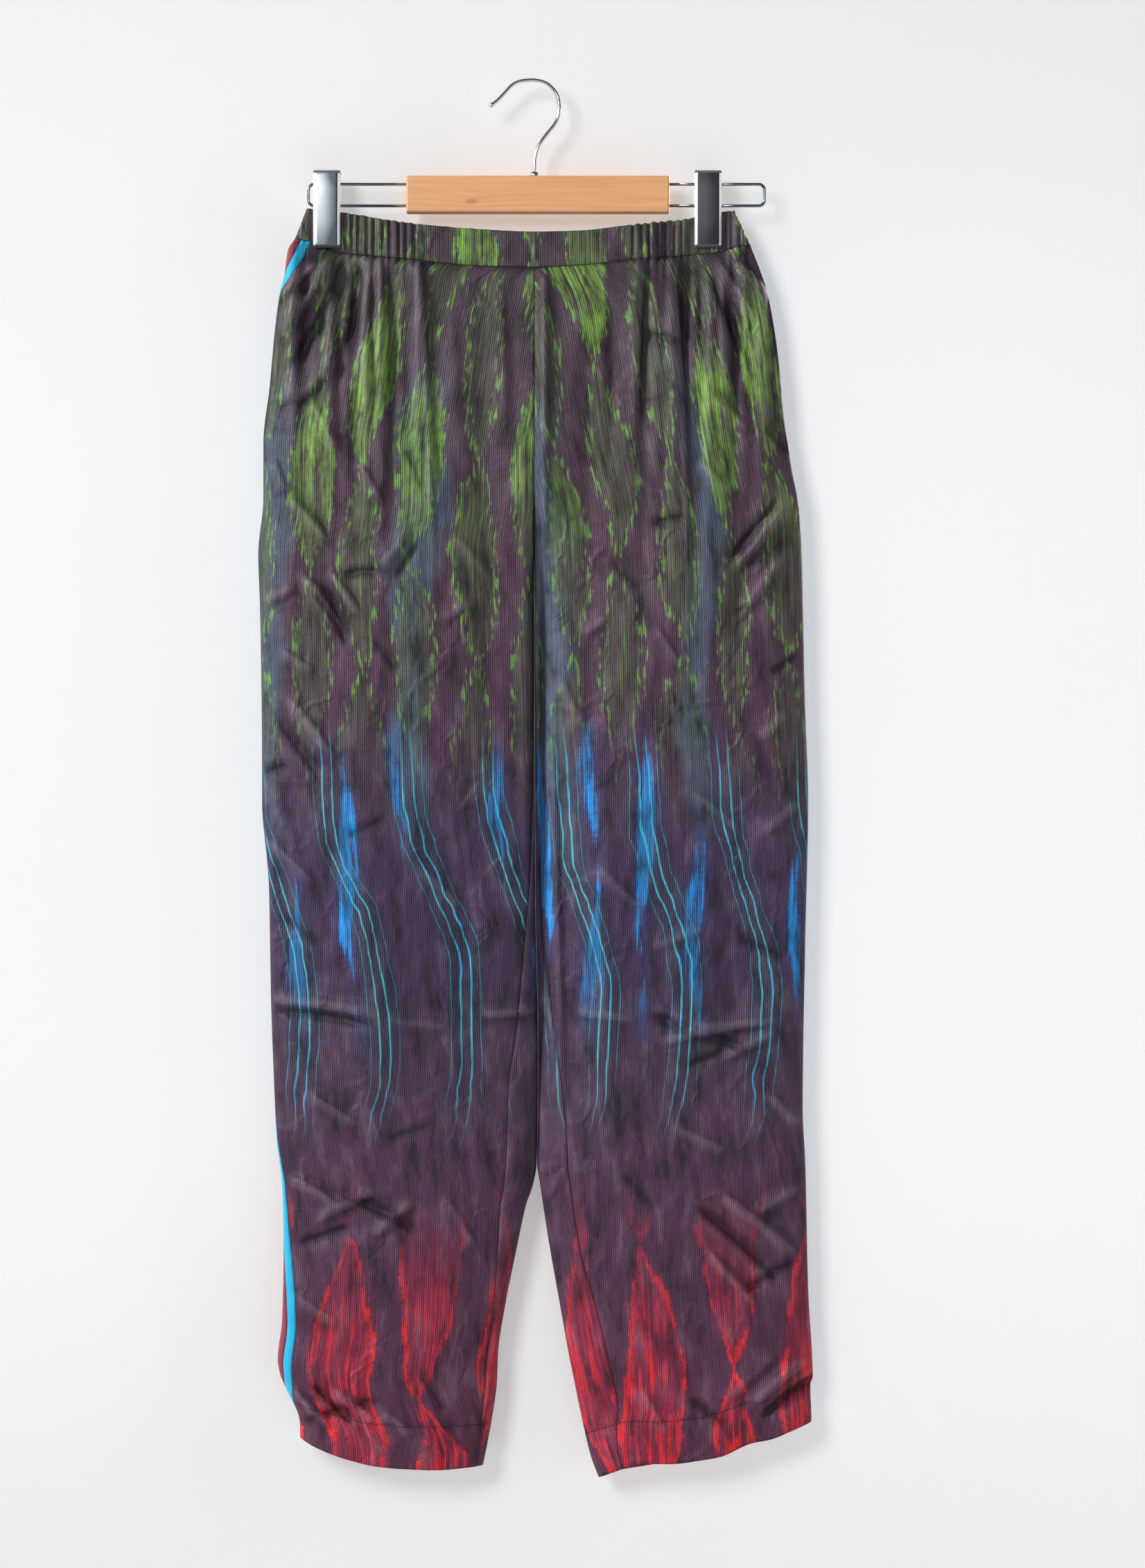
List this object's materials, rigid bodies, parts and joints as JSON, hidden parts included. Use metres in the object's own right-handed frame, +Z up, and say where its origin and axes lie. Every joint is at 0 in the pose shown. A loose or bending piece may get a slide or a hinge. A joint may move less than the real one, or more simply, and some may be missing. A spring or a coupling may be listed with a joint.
{
  "type": "straight-leg trousers on a clip hanger",
  "caption": "Straight-leg trousers of thin printed crepe with a waistband, waist pleats and side stripes, hanging from a clip hanger with a wooden bar.",
  "frame": {"origin": "underside of the hook's bend, at its highest point, where a rail carries the hanger", "axes": "+Z up, against the hang of the cloth; -Y the front of the trousers; +X the viewer's right when facing the front"},
  "size_m": [0.4393, 0.0457, 1.1102],
  "materials": {
    "crepe": "matte",
    "turquoise": "satin",
    "maroon": "satin",
    "chrome": "polished",
    "dark_steel": "polished",
    "wood": "satin varnish"
  },
  "bodies": {
    "root": {"front_left": "crepe", "front_right": "crepe", "back_left": "crepe", "back_right": "crepe", "waistband_front": "crepe", "waistband_back": "crepe", "stripe_front_left": "turquoise", "stripe_front_right": "turquoise", "stripe_back_left": "maroon", "stripe_back_right": "maroon", "hook": "chrome", "ferrule": "chrome", "bar": "wood", "wire_left": "chrome", "wire_right": "chrome", "clip_left_front": "chrome", "clip_left_back": "chrome", "clip_left_sleeve_upper": "dark_steel", "clip_left_sleeve_lower": "dark_steel", "clip_right_front": "chrome", "clip_right_back": "chrome", "clip_right_sleeve_upper": "dark_steel", "clip_right_sleeve_lower": "dark_steel"}
  },
  "joints": []
}
